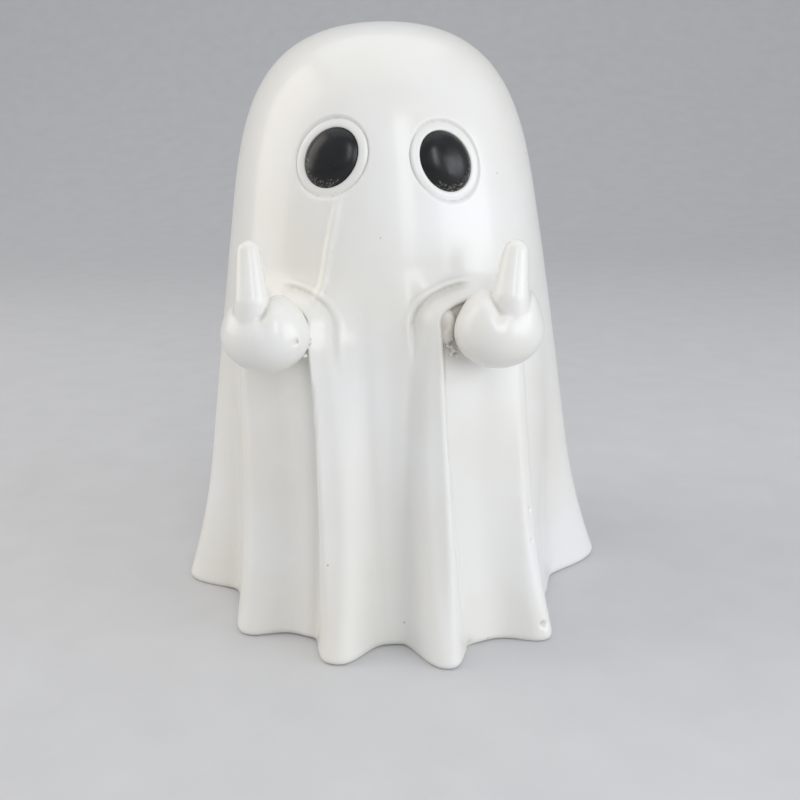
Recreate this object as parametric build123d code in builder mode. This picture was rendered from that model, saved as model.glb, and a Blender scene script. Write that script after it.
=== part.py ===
from build123d import *
import os
from math import cos, pi, radians, sin, tan

# Ceramic ghost figure: a hollow shell in the form of a draped sheet, open underneath, with two domed black
# eyes glued into rimmed sockets and two solid hands, each with a raised finger, glued into the folds.
# Millimetres, +Z up. The figure faces -Y and stands on Z = 0 with the origin under its middle.
# Left and right are the viewer's: left is -X. Azimuths turn about Z, 0 at the front and 90 on the right.

# Driving dimensions: head and shell
HEIGHT = 120.0
SHOULDER_HEIGHT = 84.0
SHOULDER_RADIUS = 32.0
SIDE_SLOPE = 8.9
SHOULDER_FULLNESS = 0.53
CROWN_FULLNESS = 0.79
FLARE = 3.5
FLARE_POWER = 4.2
WALL = 4.0
HEM_ROUND = 1.5
HEAD_STEP = 0.1

# Driving dimensions: hanging folds
ARM_DROP = 20.6
SLEEVE_SHARE = 0.66
HANG_POWER = 1.3
LEAN_POWER = 3
RIDGE_FILL = 3.0
HANG_STEPS = (0.14, 0.35, 0.57, 0.8, 1.0)
GATHER_STEPS = (0.0, 0.13, 0.33, 0.53, 0.66, 0.83, 1.0)
HEM_ROUND_TURNS = (90, 60, 30, 0)

# Fold lines round the sheet. Each has its azimuth at the hem, at the arms and over the sleeve, and then how far
# it stands out from the plain side at the hem, at the arms and over the sleeve. The left side's azimuths are
# written as on the right and mirrored further down.
FRONT_PANEL = (0.0, 0.0, 0.0, -9.2, 0.6, 0.0)
BACK_RIDGE = (180.0, 180.0, 180.0, 0.2, 0.0, 0.0)

RIGHT_PANEL_EDGE = (2.0, 6.0, 6.0, -9.2, 0.8, 0.0)
RIGHT_FRONT_RIDGE = (11.2, 13.6, 23.0, 1.2, 4.6, -0.4)
RIGHT_FRONT_STEP = (17.5, 16.4, 25.5, -5.2, -0.6, 1.8)
RIGHT_HAND_BAY = (25.5, 28.3, 28.3, -5.4, -0.6, 2.0)
RIGHT_SIDE_RIDGE = (39.0, 42.4, 37.0, 0.8, 2.4, 0.8)
RIGHT_SIDE_STEP = (48.8, 46.5, 43.0, -9.0, 0.0, 0.4)
RIGHT_SIDE_VALLEY = (72.0, 66.0, 66.0, -11.6, -1.0, 0.0)
RIGHT_WING = (95.0, 90.0, 90.0, -0.9, 0.0, 0.0)
RIGHT_REAR_VALLEY = (117.0, 115.0, 115.0, -10.0, 0.0, 0.0)
RIGHT_REAR_RIDGE = (138.0, 138.0, 138.0, -1.5, 0.0, 0.0)
RIGHT_BACK_VALLEY = (159.0, 159.0, 159.0, -10.0, 0.0, 0.0)

LEFT_PANEL_EDGE = (3.0, 5.0, 5.0, -9.2, 0.8, 0.0)
LEFT_FRONT_RIDGE = (16.2, 21.8, 30.0, -0.6, 3.2, 0.4)
LEFT_FRONT_STEP = (24.0, 24.6, 32.5, -7.8, -0.6, 1.8)
LEFT_HAND_BAY = (28.5, 31.7, 35.0, -8.0, -0.6, 2.0)
LEFT_SIDE_RIDGE = (44.6, 50.2, 44.0, -2.4, 2.4, 0.8)
LEFT_SIDE_STEP = (55.5, 54.5, 51.0, -9.6, 0.0, 0.4)
LEFT_SIDE_VALLEY = (69.0, 66.0, 66.0, -10.7, -1.0, 0.0)
LEFT_WING = (84.5, 86.0, 86.0, -1.2, 0.0, 0.0)
LEFT_REAR_VALLEY = (108.0, 108.0, 108.0, -10.0, 0.0, 0.0)
LEFT_REAR_RIDGE = (132.0, 132.0, 132.0, -1.5, 0.0, 0.0)
LEFT_BACK_VALLEY = (156.0, 156.0, 156.0, -10.0, 0.0, 0.0)

# Driving dimensions: eyes
FACE_TURN = 1.9
EYE_STATION = 0.188
EYE_STAGGER = 0.011
EYE_AZIMUTH = 21.0
EYE_TILT = 32.0
EYE_WIDTH = 9.7
EYE_TALL = 11.5
EYE_EDGE = 0.8
EYE_CROWN = 1.2
EYE_PROUD = 0.2
EYE_GLUE = 0.3
EYE_GLUE_MARGIN = 0.8
EYE_CLEARANCE = 0.1
RIM_WIDTH = 1.8
RIM_PROUD = 0.4
RIM_ROUND = 0.8

# Driving dimensions: hands
FIST_ROUND = 14.0
FIST_STRETCH = 3.0
FIST_GAP = 2.5
FINGER_BASE = 7.4
FINGER_TIP = 4.4
FINGER_RISE = 17.0
FINGER_OFFSET = 1.6
INNER_KNUCKLE = 7.6
INNER_KNUCKLE_OFFSET = 4.4
OUTER_KNUCKLE = 6.0
OUTER_KNUCKLE_OFFSET = 5.2
KNUCKLE_RISE = 3.2
WRIST_DIAMETER = 8.0
WRIST_SHARE = 0.6
PEG_DIAMETER = 5.0
PEG_CLEARANCE = 0.1
SEAT_DEPTH = 0.8
GLUE_WIDTH = 1.5
GLUE_HEIGHT = 1.6
GLUE_ROUND = 1.0

SIDES = {"left": -1, "right": 1}

# Sizes that follow from the others
ARM_HEIGHT = SHOULDER_HEIGHT - ARM_DROP
HEAD_HEIGHT = HEIGHT - SHOULDER_HEIGHT
HANG_LEVELS = [ARM_HEIGHT * step for step in HANG_STEPS]
GATHER_LEVELS = [ARM_HEIGHT + ARM_DROP * step for step in GATHER_STEPS]
SOCKET_DEPTH = EYE_GLUE + EYE_EDGE + EYE_CROWN - EYE_PROUD
FIST_REACH = FIST_ROUND / 2 + FIST_GAP
PEG_LENGTH = (WALL - SEAT_DEPTH) / 2
GLUE_DIAMETER = WRIST_DIAMETER + 2 * GLUE_WIDTH
SEAT_DIAMETER = GLUE_DIAMETER + 2 * PEG_CLEARANCE


def mirrored(line):
    """The same fold line on the other side."""
    hem_azimuth, arm_azimuth, sleeve_azimuth, *out = line
    return 360 - hem_azimuth, 360 - arm_azimuth, 360 - sleeve_azimuth, *out


RIGHT_LINES = [RIGHT_PANEL_EDGE, RIGHT_FRONT_RIDGE, RIGHT_FRONT_STEP, RIGHT_HAND_BAY, RIGHT_SIDE_RIDGE]
RIGHT_LINES += [RIGHT_SIDE_STEP, RIGHT_SIDE_VALLEY, RIGHT_WING]
RIGHT_LINES += [RIGHT_REAR_VALLEY, RIGHT_REAR_RIDGE, RIGHT_BACK_VALLEY]
LEFT_LINES = [LEFT_PANEL_EDGE, LEFT_FRONT_RIDGE, LEFT_FRONT_STEP, LEFT_HAND_BAY, LEFT_SIDE_RIDGE]
LEFT_LINES += [LEFT_SIDE_STEP, LEFT_SIDE_VALLEY, LEFT_WING]
LEFT_LINES += [LEFT_REAR_VALLEY, LEFT_REAR_RIDGE, LEFT_BACK_VALLEY]
FOLD_LINES = [FRONT_PANEL, *RIGHT_LINES, BACK_RIDGE, *map(mirrored, reversed(LEFT_LINES))]


def around(azimuth, radius, z=0.0):
    """The point at an azimuth, a radius and a height."""
    turn = radians(azimuth)
    return Vector(radius * sin(turn), -radius * cos(turn), z)


def side_radius(z):
    """Radius of the plain side, without its folds, at a height below the shoulder."""
    flare = FLARE * max(0.0, 1 - z / ARM_HEIGHT) ** FLARE_POWER
    return SHOULDER_RADIUS + (SHOULDER_HEIGHT - z) * tan(radians(SIDE_SLOPE)) + flare


def fold_line(line, z):
    """Azimuth of a fold line at a height, and how far it stands out, fading over the sleeves."""
    hem_azimuth, arm_azimuth, sleeve_azimuth, hem, arm, sleeve = line
    below_arm = max(0.0, 1 - z / ARM_HEIGHT)
    above_arm = min(1.0, max(0.0, (z - ARM_HEIGHT) / (ARM_DROP * SLEEVE_SHARE)))
    fade = 1 - above_arm**2 * (3 - 2 * above_arm)
    azimuth = hem_azimuth + (arm_azimuth - hem_azimuth) * (1 - below_arm) ** LEAN_POWER
    azimuth += (sleeve_azimuth - arm_azimuth) * above_arm
    hanging = arm + (hem - arm) * below_arm**HANG_POWER
    return azimuth, hanging * fade + sleeve * sin(pi * above_arm) ** 2


def draw_outside(z, inset=0.0):
    """The outline of the sheet's outside at a height."""
    plain = side_radius(z) - inset
    folds = [fold_line(line, z) for line in FOLD_LINES]
    draw_loop([(azimuth, plain + out) for azimuth, out in folds])


def draw_inside(z):
    """The outline of its inside, which follows the valleys and leaves the ridges thick, most at the hem."""
    plain = side_radius(z) - WALL
    filled = -RIDGE_FILL * max(0.0, 1 - z / ARM_HEIGHT)
    folds = [fold_line(line, z) for line in FOLD_LINES]
    draw_loop([(azimuth, plain + min(out, filled)) for azimuth, out in folds])


def draw_loop(polar_points):
    """One curve from each point to the next, square to the radius at both ends, so that the loop is smooth."""
    (first_azimuth, first_radius), *_ = polar_points
    for (a0, r0), (a1, r1) in zip(polar_points, [*polar_points[1:], (first_azimuth + 360, first_radius)]):
        handle = 4 / 3 * tan(radians(a1 - a0) / 4)
        start, end = around(a0, r0), around(a1, r1)
        Bezier(start, start + around(a0 + 90, r0 * handle), end - around(a1 + 90, r1 * handle), end)


def draw_head(inset):
    """Half of the head's section on its outside or inside, from the shoulder over to the crown."""
    slope = radians(SIDE_SLOPE)
    shoulder = Vector(SHOULDER_RADIUS - inset, SHOULDER_HEIGHT)
    crown = Vector(0, HEIGHT - inset)
    up_the_side = Vector(-sin(slope), cos(slope)) * HEAD_HEIGHT * SHOULDER_FULLNESS
    curve = Bezier(shoulder, shoulder + up_the_side, crown + Vector(SHOULDER_RADIUS * CROWN_FULLNESS, 0), crown)
    Polyline(crown, (0, SHOULDER_HEIGHT), shoulder)
    return curve


def eye_plane(side):
    """The plane that touches the head at an eye's middle, facing out, with its Y along the tilted oval."""
    station = EYE_STATION - side * EYE_STAGGER
    spot, way = head_curve @ station, head_curve % station
    azimuth = FACE_TURN + side * EYE_AZIMUTH
    tilt = radians(side * EYE_TILT)
    across, out = around(azimuth + 90, 1), around(azimuth, way.Y, -way.X)
    width_way = across * cos(tilt) + out.cross(across) * sin(tilt)
    return Plane(around(azimuth, spot.X, spot.Y), x_dir=width_way, z_dir=out)


def draw_oval(margin, mode=Mode.ADD):
    """The oval of an eye, grown by a margin."""
    Ellipse(EYE_WIDTH / 2 + margin, EYE_TALL / 2 + margin, mode=mode)


def seat_plane(side):
    """The plane of a hand's seat in the bay between two folds, facing out, with its Y upwards."""
    azimuth, out = fold_line(RIGHT_HAND_BAY if side > 0 else mirrored(LEFT_HAND_BAY), ARM_HEIGHT)
    seat = around(azimuth, side_radius(ARM_HEIGHT) + out - SEAT_DEPTH, ARM_HEIGHT)
    return Plane(seat, x_dir=around(azimuth + 90, 1), z_dir=around(azimuth, 1))


# The shell: hanging sheet and head, hollow, with the eye sockets and the hands' seats
with BuildPart() as body_shell:
    for turn in map(radians, HEM_ROUND_TURNS):
        level = HEM_ROUND * (1 - sin(turn))
        with BuildSketch(Plane.XY.offset(level)):
            with BuildLine():
                draw_outside(level, inset=HEM_ROUND * (1 - cos(turn)))
            make_face()
    loft()
    for levels in ([HEM_ROUND, *HANG_LEVELS], GATHER_LEVELS):
        for level in levels:
            with BuildSketch(Plane.XY.offset(level)):
                with BuildLine():
                    draw_outside(level)
                make_face()
        loft()
    with BuildSketch(Plane.XZ):
        with BuildLine():
            head_curve = draw_head(HEAD_STEP)
        make_face()
    revolve(axis=Axis.Z)
    for levels in ([0, *HANG_LEVELS], GATHER_LEVELS):
        for level in levels:
            with BuildSketch(Plane.XY.offset(level)):
                with BuildLine():
                    draw_inside(level)
                make_face()
        loft(mode=Mode.SUBTRACT)
    with BuildSketch(Plane.XZ):
        with BuildLine():
            draw_head(WALL + HEAD_STEP)
        make_face()
    revolve(axis=Axis.Z, mode=Mode.SUBTRACT)
    for side in SIDES.values():
        with BuildSketch(eye_plane(side)):
            draw_oval(RIM_WIDTH + 2 * EYE_CLEARANCE)
        extrude(amount=-SOCKET_DEPTH, mode=Mode.SUBTRACT)
        with Locations(seat_plane(side).offset(FIST_REACH)):
            CounterBoreHole(
                radius=PEG_DIAMETER / 2 + PEG_CLEARANCE,
                counter_bore_radius=SEAT_DIAMETER / 2,
                counter_bore_depth=FIST_REACH,
                depth=FIST_REACH + PEG_LENGTH + PEG_CLEARANCE,
            )
body_shell.part.label = "body_shell"

os.makedirs("parts", exist_ok=True)
export_step(body_shell.part, "parts/body_shell.step")

for name, side in SIDES.items():
    face = eye_plane(side)
    floor = face.offset(-SOCKET_DEPTH)
    outward = Axis(face.origin, face.z_dir)
    seat = seat_plane(side)

    # The raised rim of an eye, seated in its socket
    with BuildPart() as eye_rim:
        with BuildSketch(floor):
            draw_oval(RIM_WIDTH + EYE_CLEARANCE)
            draw_oval(EYE_CLEARANCE, mode=Mode.SUBTRACT)
        extrude(amount=SOCKET_DEPTH + RIM_PROUD)
        fillet(eye_rim.edges().group_by(outward)[-1], RIM_ROUND)
    eye_rim.part.label = f"{name}_eye_rim"
    export_step(eye_rim.part, f"parts/{name}_eye_rim.step")

    # The disc of adhesive under an eye
    with BuildPart() as eye_adhesive:
        with BuildSketch(floor):
            draw_oval(-EYE_GLUE_MARGIN)
        extrude(amount=EYE_GLUE)
    eye_adhesive.part.label = f"{name}_eye_adhesive"
    export_step(eye_adhesive.part, f"parts/{name}_eye_adhesive.step")

    # The eye: a flat-backed oval cabochon
    crown_radius = (EYE_TALL**2 / 4 + EYE_CROWN**2) / (2 * EYE_CROWN)
    eye_back = floor.offset(EYE_GLUE)
    with BuildPart() as eye:
        with BuildSketch(eye_back):
            draw_oval(0)
        extrude(amount=EYE_EDGE + EYE_CROWN)
        with Locations(eye_back.offset(EYE_EDGE + EYE_CROWN - crown_radius)):
            Sphere(crown_radius, mode=Mode.INTERSECT)
    eye.part.label = f"{name}_eye"
    export_step(eye.part, f"parts/{name}_eye.step")

    # The hand: a plump fist on a wrist with a locating peg, a raised finger and two knuckle swellings
    middle = seat.offset(FIST_REACH)
    with BuildPart() as hand:
        with BuildSketch(middle):
            SlotCenterToCenter(FIST_STRETCH, FIST_ROUND)
            lower_half = (Align.CENTER, Align.MAX)
            Rectangle(FIST_STRETCH + FIST_ROUND, FIST_ROUND, align=lower_half, mode=Mode.SUBTRACT)
        revolve(axis=Axis(middle.origin, middle.x_dir))
        with BuildSketch(seat):
            Circle(WRIST_DIAMETER / 2)
        extrude(amount=WRIST_SHARE * FIST_REACH)
        with BuildSketch(seat):
            Circle(PEG_DIAMETER / 2)
        extrude(amount=-PEG_LENGTH)
        finger_foot = middle.from_local_coords((side * FINGER_OFFSET, 0, 0))
        finger = Plane(finger_foot, x_dir=middle.x_dir, z_dir=middle.z_dir)
        with BuildSketch(finger):
            with BuildLine():
                shoulder = FINGER_RISE - FINGER_TIP / 2
                Polyline((0, FINGER_RISE), (0, 0), (FINGER_BASE / 2, 0), (FINGER_TIP / 2, shoulder))
                CenterArc((0, shoulder), FINGER_TIP / 2, 0, 90)
            make_face()
        revolve(axis=Axis(finger.origin, finger.y_dir))
        with Locations(middle.from_local_coords((-side * INNER_KNUCKLE_OFFSET, KNUCKLE_RISE, 0))):
            Sphere(INNER_KNUCKLE / 2)
        with Locations(middle.from_local_coords((side * OUTER_KNUCKLE_OFFSET, KNUCKLE_RISE, 0))):
            Sphere(OUTER_KNUCKLE / 2)
    hand.part.label = f"{name}_hand"
    export_step(hand.part, f"parts/{name}_hand.step")

    # The bead of glue round the wrist
    with BuildPart() as hand_glue:
        with BuildSketch(seat):
            Circle(GLUE_DIAMETER / 2)
            Circle(WRIST_DIAMETER / 2, mode=Mode.SUBTRACT)
        extrude(amount=GLUE_HEIGHT)
        outer_edges = hand_glue.edges().group_by(Axis(seat.origin, seat.z_dir))[-1]
        fillet(outer_edges.sort_by(SortBy.RADIUS)[-1], GLUE_ROUND)
    hand_glue.part.label = f"{name}_hand_glue"
    export_step(hand_glue.part, f"parts/{name}_hand_glue.step")

    eye_middle = face.origin
    print(name, "eye at", [round(v, 2) for v in eye_middle], "hand at", [round(v, 2) for v in middle.origin])

box = body_shell.part.bounding_box()
print("shell", [round(v, 2) for v in box.min], [round(v, 2) for v in box.max])
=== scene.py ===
# %% [markdown]
# # A glazed ceramic ghost
# The ornament is a hollow white figure: a sheet draped over a round head, with two black eyes in raised
# rims and two small fists glued into the folds. The frame, made in CAD, fixes where every piece is and
# how large it is. This lesson gives each piece the softer, hand-finished form and the glaze that show.

# %% Load the frame
import math

import bpy
import numpy as np
from mathutils import Matrix, Vector


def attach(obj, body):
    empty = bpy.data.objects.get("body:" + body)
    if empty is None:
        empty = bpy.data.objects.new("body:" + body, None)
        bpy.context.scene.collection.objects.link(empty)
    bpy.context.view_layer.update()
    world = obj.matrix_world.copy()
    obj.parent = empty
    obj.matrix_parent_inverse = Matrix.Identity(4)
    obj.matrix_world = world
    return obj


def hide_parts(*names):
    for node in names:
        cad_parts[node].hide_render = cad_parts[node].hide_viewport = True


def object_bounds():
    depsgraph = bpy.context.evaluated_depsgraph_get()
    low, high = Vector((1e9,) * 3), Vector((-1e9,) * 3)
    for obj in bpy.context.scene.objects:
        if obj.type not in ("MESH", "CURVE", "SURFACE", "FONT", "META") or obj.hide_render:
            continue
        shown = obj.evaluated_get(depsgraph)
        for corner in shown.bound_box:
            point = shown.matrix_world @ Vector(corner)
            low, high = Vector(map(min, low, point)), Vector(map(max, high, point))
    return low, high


MM = 0.001
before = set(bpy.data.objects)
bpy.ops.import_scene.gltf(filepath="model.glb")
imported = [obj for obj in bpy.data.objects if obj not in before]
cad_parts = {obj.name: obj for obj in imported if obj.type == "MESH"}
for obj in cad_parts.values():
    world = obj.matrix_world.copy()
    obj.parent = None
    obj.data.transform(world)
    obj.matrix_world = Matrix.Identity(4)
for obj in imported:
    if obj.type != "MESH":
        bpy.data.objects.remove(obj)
cad_low, cad_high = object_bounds()
cad_size = [round((high - low) / MM, 1) for low, high in zip(cad_low, cad_high)]
print("frame", len(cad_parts), "nodes, box in mm", cad_size)

# %% [markdown]
# ## The camera
# The picture was taken by hand from close by, a little above the figure's hands and looking down, and the
# camera was turned a degree or so. A camera placed by eye would be guesswork, so its place is written as
# sizes: how far in front, how high, and how far it is turned.

# %% Camera: spot in millimetres, turns in degrees
FRAME_PIXELS = 800
FOCAL_PIXELS = 1000.0
SENSOR_MM = 36.0
CAMERA_SPOT = Vector((0.0, -217.0, 102.0))
CAMERA_DOWN = 16.0
CAMERA_TURN = 0.6
CAMERA_ROLL = -1.4
CAMERA_NEAR = 1.0

camera = bpy.data.objects.new("camera", bpy.data.cameras.new("camera"))
bpy.context.collection.objects.link(camera)
camera.data.sensor_width = SENSOR_MM
camera.data.lens = SENSOR_MM * FOCAL_PIXELS / FRAME_PIXELS
camera.data.clip_start = CAMERA_NEAR * MM
turn = Matrix.Rotation(math.radians(-CAMERA_TURN), 4, "Z")
down = Matrix.Rotation(math.radians(90 - CAMERA_DOWN), 4, "X")
roll = Matrix.Rotation(math.radians(CAMERA_ROLL), 4, "Z")
camera.matrix_world = Matrix.Translation(CAMERA_SPOT * MM) @ turn @ down @ roll
bpy.context.scene.camera = camera
print("camera", round(camera.data.lens, 1), "mm lens")

# %% [markdown]
# ## Small tools
# Operators act on whatever is selected, so each piece starts with a clean selection. Two short functions
# read and write a mesh's points in millimetres, which keeps every size below in the units of a ruler, and
# one adds a modifier, sets it and applies it.

# %% Selecting, moving points, applying modifiers
def select_only(*pieces):
    """Leave just these pieces selected, the first of them active."""
    bpy.ops.object.select_all(action="DESELECT")
    for piece in pieces:
        piece.select_set(True)
    bpy.context.view_layer.objects.active = pieces[0]


def points_of(piece):
    """The piece's points in millimetres, one row each."""
    flat = np.zeros(3 * len(piece.data.vertices))
    piece.data.vertices.foreach_get("co", flat)
    return flat.reshape(-1, 3) / MM


def move_points(piece, points):
    """Put the piece's points at these places in millimetres."""
    piece.data.vertices.foreach_set("co", (np.asarray(points) * MM).ravel())
    piece.data.update()


def modify(piece, kind, **settings):
    """Add a modifier with these settings and apply it."""
    select_only(piece)
    modifier = piece.modifiers.new(kind.lower(), kind)
    for name, value in settings.items():
        setattr(modifier, name, value)
    bpy.ops.object.modifier_apply(modifier=modifier.name)


def smoothstep(share):
    """0 up to a share of 0, 1 from a share of 1, and a smooth rise between."""
    share = np.clip(share, 0.0, 1.0)
    return share * share * (3 - 2 * share)


bpy.ops.object.select_all(action="DESELECT")
print("pieces selected at the start:", len(bpy.context.selected_objects))

# %% [markdown]
# ## The sheet without its folds
# The body was cast in one piece: a dome for the head, then a sheet that hangs down and flares at the hem.
# A section turned about the upright would give that plain form, and the folds could be pushed in after.
# Here the section is kept as a law, radius against height, so that the outside and the inside, one wall
# further in, follow the same line and every fold can be measured from it.

# %% Section of the plain sheet
HEIGHT = cad_high.z / MM
SHOULDER_HEIGHT = 84.0
SHOULDER_RADIUS = 31.95
SIDE_SLOPE = math.radians(8.9)
SHOULDER_FULLNESS = 0.53
CROWN_FULLNESS = 0.79
FLARE = 3.5
FLARE_HEIGHT = 30.0
WALL = 4.0
HEM_ROUND = 1.7
DOME_STEPS = 400
SIDE_STEPS = 200


def side_radius(z):
    """Radius of the plain sheet below the shoulder."""
    flare = FLARE * np.clip(1 - z / FLARE_HEIGHT, 0, None) ** 2
    return SHOULDER_RADIUS + (SHOULDER_HEIGHT - z) * math.tan(SIDE_SLOPE) + flare


def section(inset, low, count):
    """Radius and height at even steps along the section, from the crown down to a height."""
    down = np.linspace(0, 1, DOME_STEPS)[:, None]
    crown = np.array([0, HEIGHT - inset])
    shoulder = np.array([SHOULDER_RADIUS - inset, SHOULDER_HEIGHT])
    up_the_side = np.array([-math.sin(SIDE_SLOPE), math.cos(SIDE_SLOPE)])
    pull_out = crown + np.array([SHOULDER_RADIUS * CROWN_FULLNESS, 0])
    pull_up = shoulder + up_the_side * (HEIGHT - SHOULDER_HEIGHT) * SHOULDER_FULLNESS
    dome = crown * (1 - down) ** 3 + pull_out * 3 * down * (1 - down) ** 2
    dome = dome + pull_up * 3 * down**2 * (1 - down) + shoulder * down**3
    z = np.linspace(SHOULDER_HEIGHT, low, SIDE_STEPS)[1:]
    line = np.vstack([dome, np.column_stack([side_radius(z) - inset, z])])
    run = np.concatenate([[0], np.cumsum(np.hypot(*np.diff(line, axis=0).T))])
    steps = np.linspace(0, run[-1], count)
    return np.interp(steps, run, line[:, 0]), np.interp(steps, run, line[:, 1])


print("section: hem radius", round(float(side_radius(0.0)), 1), "mm, height", round(HEIGHT, 1), "mm")

# %% [markdown]
# ## The folds
# The sheet hangs in layers. The front panel lies foremost and its two edges stand up as ribs. Beside each
# rib the sheet drops back to a narrower panel below the hand, which ends in a thin side ridge, and behind
# that hang the wings. Sculpting by hand would give this too, but not twice alike, so each fold is a line
# down the sheet: its bearing at the hem and at the hands, and how far it stands out from the plain sheet
# there. Bearings count from the front, to either side, and each list runs from the middle of the front
# panel to the middle of the back. The two sides differ a little, as they do on the real figure.

# %% Fold lines: bearing at hem and hands in degrees, standing out at hem and hands in millimetres
ARM_HEIGHT = 63.4
FADE_START = 60.0
FADE_TOP = 75.0
# Down from the hands a fold comes out slowly at first and most at the hem. Up from the hem it keeps its
# bearing and only turns to its other bearing near the hands.
HANG_POWER = 1.6
BEARING_POWER = 3
FOLDS = {
    "right": [
        (0, 0, -9.2, 0.6),  # middle of the front panel
        (3.0, 7.0, -9.0, 1.0),  # where the panel starts to swell
        (9.2, 12.4, 1.4, 2.9),  # inner side of the front rib
        (13.8, 14.2, 2.2, 3.2),  # front rib
        (27.0, 28.3, -0.5, 3.2),  # over the panel below the hand
        (36.4, 41.8, 1.9, 2.4),  # side ridge
        (39.6, 43.2, 0.9, 2.2),  # outer side of the side ridge
        (48.5, 46.5, -9.0, 0.0),  # foot of the drop behind it
        (72.0, 66.0, -11.6, -1.0),  # hollow in front of the wing
        (95.0, 90.0, -0.3, 0.0),  # wing
        (117, 115, -10.0, 0.0),  # hollow behind the wing
        (138, 138, -1.0, 0.0),  # back fold
        (159, 159, -10.0, 0.0),  # hollow beside the middle of the back
        (180, 180, 0.2, 0.0),  # middle of the back
    ],
    "left": [
        (0, 0, -9.2, 0.6),
        (5.0, 6.0, -8.8, 0.8),
        (13.0, 19.5, -0.3, 3.0),
        (18.2, 22.4, -0.7, 3.2),
        (30.0, 33.5, -0.5, 3.2),
        (42.2, 49.4, -2.0, 2.4),
        (46.6, 51.0, -3.2, 2.2),
        (55.5, 54.5, -9.6, 0.0),
        (69.0, 66.0, -10.7, -1.0),
        (84.5, 86.0, -0.6, 0.0),
        (108, 108, -10.0, 0.0),
        (132, 132, -1.0, 0.0),
        (156, 156, -10.0, 0.0),
        (180, 180, 0.2, 0.0),
    ],
}
FRONT_RIB = 3
SIDE_RIDGE = 5


def fold_line(line, z):
    """Bearing and standing out of one fold line at each height, fading out from the hands up."""
    hem_bearing, arm_bearing, hem_out, arm_out = line
    up = np.clip(z / ARM_HEIGHT, 0, 1)
    fade = 1 - smoothstep((z - FADE_START) / (FADE_TOP - FADE_START))
    bearing = hem_bearing + (arm_bearing - hem_bearing) * up**BEARING_POWER
    return bearing, (arm_out + (hem_out - arm_out) * (1 - up) ** HANG_POWER) * fade


def folds(lines, bearing, z):
    """How far the sheet stands out at each bearing and height, rising smoothly from line to line."""
    line_bearing, out = fold_line(lines[0], z)
    total = out
    for line in lines[1:]:
        next_bearing, next_out = fold_line(line, z)
        share = (bearing - line_bearing) / (next_bearing - line_bearing)
        total = total + (next_out - out) * smoothstep(share)
        line_bearing, out = next_bearing, next_out
    return total


print("folds:", sum(len(lines) for lines in FOLDS.values()), "lines")

# %% [markdown]
# ## The sleeves
# At the hands each front rib bends over the wrist as an arch, like the edge of a sleeve, and inside that
# arch the sheet lies one layer back. That is a doorway: the rib is one jamb, the side ridge the other. A
# boolean cutter could sink it, but would leave the same hard edge all round. So the doorway is a measure
# first: how deep inside its edges a place on the sheet lies.

# %% Doorways under the sleeves
ARCH_FOOT = 64.5
ARCH_RISE = 4.4
# These two keep the measure finite at the middle of the arch.
LEAST_REACH = 0.05
LEAST_STEEPNESS = 0.001


def doorway(name, bearing, z):
    """Depth in millimetres inside the front jamb and arch, and inside the side jamb; then two shares: how far
    a place lies from the front jamb (-1) to the side jamb (1), and how much it lies over the arch (1)."""
    rib, _ = fold_line(FOLDS[name][FRONT_RIB], z)
    ridge, _ = fold_line(FOLDS[name][SIDE_RIDGE], z)
    mm_per_degree = math.pi / 180 * side_radius(np.minimum(z, SHOULDER_HEIGHT))
    half_width = (ridge - rib) / 2 * mm_per_degree
    across = (bearing - (rib + ridge) / 2) * mm_per_degree
    up = np.clip(z - ARCH_FOOT, 0, None)
    reach = np.maximum(np.hypot(across / half_width, up / ARCH_RISE), LEAST_REACH)
    steepness = np.hypot(across / half_width**2, up / ARCH_RISE**2) / reach
    steepness = np.maximum(steepness, LEAST_STEEPNESS)
    front = np.where(z > ARCH_FOOT, (1 - reach) / steepness, across + half_width)
    aloft = up / ARCH_RISE / reach
    return front, half_width - across, across / half_width, aloft


print("doorway arch tops out at", ARCH_FOOT + ARCH_RISE, "mm")

# %% [markdown]
# Along the outside of its edge the sleeve swells out as a cuff, and beside the cuff runs a hollow band that
# ends in a low lip, so that light draws a bright and a dark arc over each wrist. On the left a thin crease
# climbs from the sleeve towards the eye. A sculpting brush would do all this by eye; here each is worked
# out from its distance to the doorway's edge, or to its own path, so that it can be set in millimetres. The
# panel inside the doorway is laid in last: crisp at the rib and the arch, soft at the side ridge.

# %% Cuffs, hollow bands, crease and panels
EDGE_AT_HEM = 4.5
EDGE_AT_HAND = 1.2
EDGE_REACH = 45.0
SOFT_EDGE = 9.0
PANEL_LEVEL = {"right": (-5.6, 1.2), "left": (-8.8, 0.3)}
CUFF = 1.5
CUFF_WIDTH = 5.0
CUFF_HEM_REACH = 22.0
SLEEVE_START = 54.0
ARCH_FADE = 0.5
ARCH_NARROWING = 0.42
BAND_DEPTH = {"right": 0.9, "left": 0.35}
BAND_START = 0.8
BAND_DEEPEST = 3.0
BAND_EDGE = 4.1
BAND_END = 4.8
LIP_SHARE = 0.35
LIP_AT = 5.2
LIP_WIDTH = 0.5
CREASE_SIDE = "left"
CREASE_PROUD = 0.6
CREASE_WIDTH = 0.75
CREASE_PATH = ((69.5, 21.6), (72.0, 20.2), (78.0, 18.7), (88.0, 15.2))
CREASE_BELOW = 4.0
CREASE_FOOT_FADE = 6.0
CREASE_ABOVE = 3.0
CREASE_HEAD_FADE = 8.0


def crease(bearing, z):
    """How far the thin crease stands out, along a path of heights and bearings."""
    path_z, path_bearing = np.array(CREASE_PATH).T
    aside = (bearing - np.interp(z, path_z, path_bearing)) * math.pi / 180 * SHOULDER_RADIUS
    along = smoothstep((z - path_z[0] + CREASE_BELOW) / CREASE_FOOT_FADE)
    along = along * smoothstep((path_z[-1] + CREASE_ABOVE - z) / CREASE_HEAD_FADE)
    return CREASE_PROUD * np.exp(-(aside / CREASE_WIDTH) ** 2) * along


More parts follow.
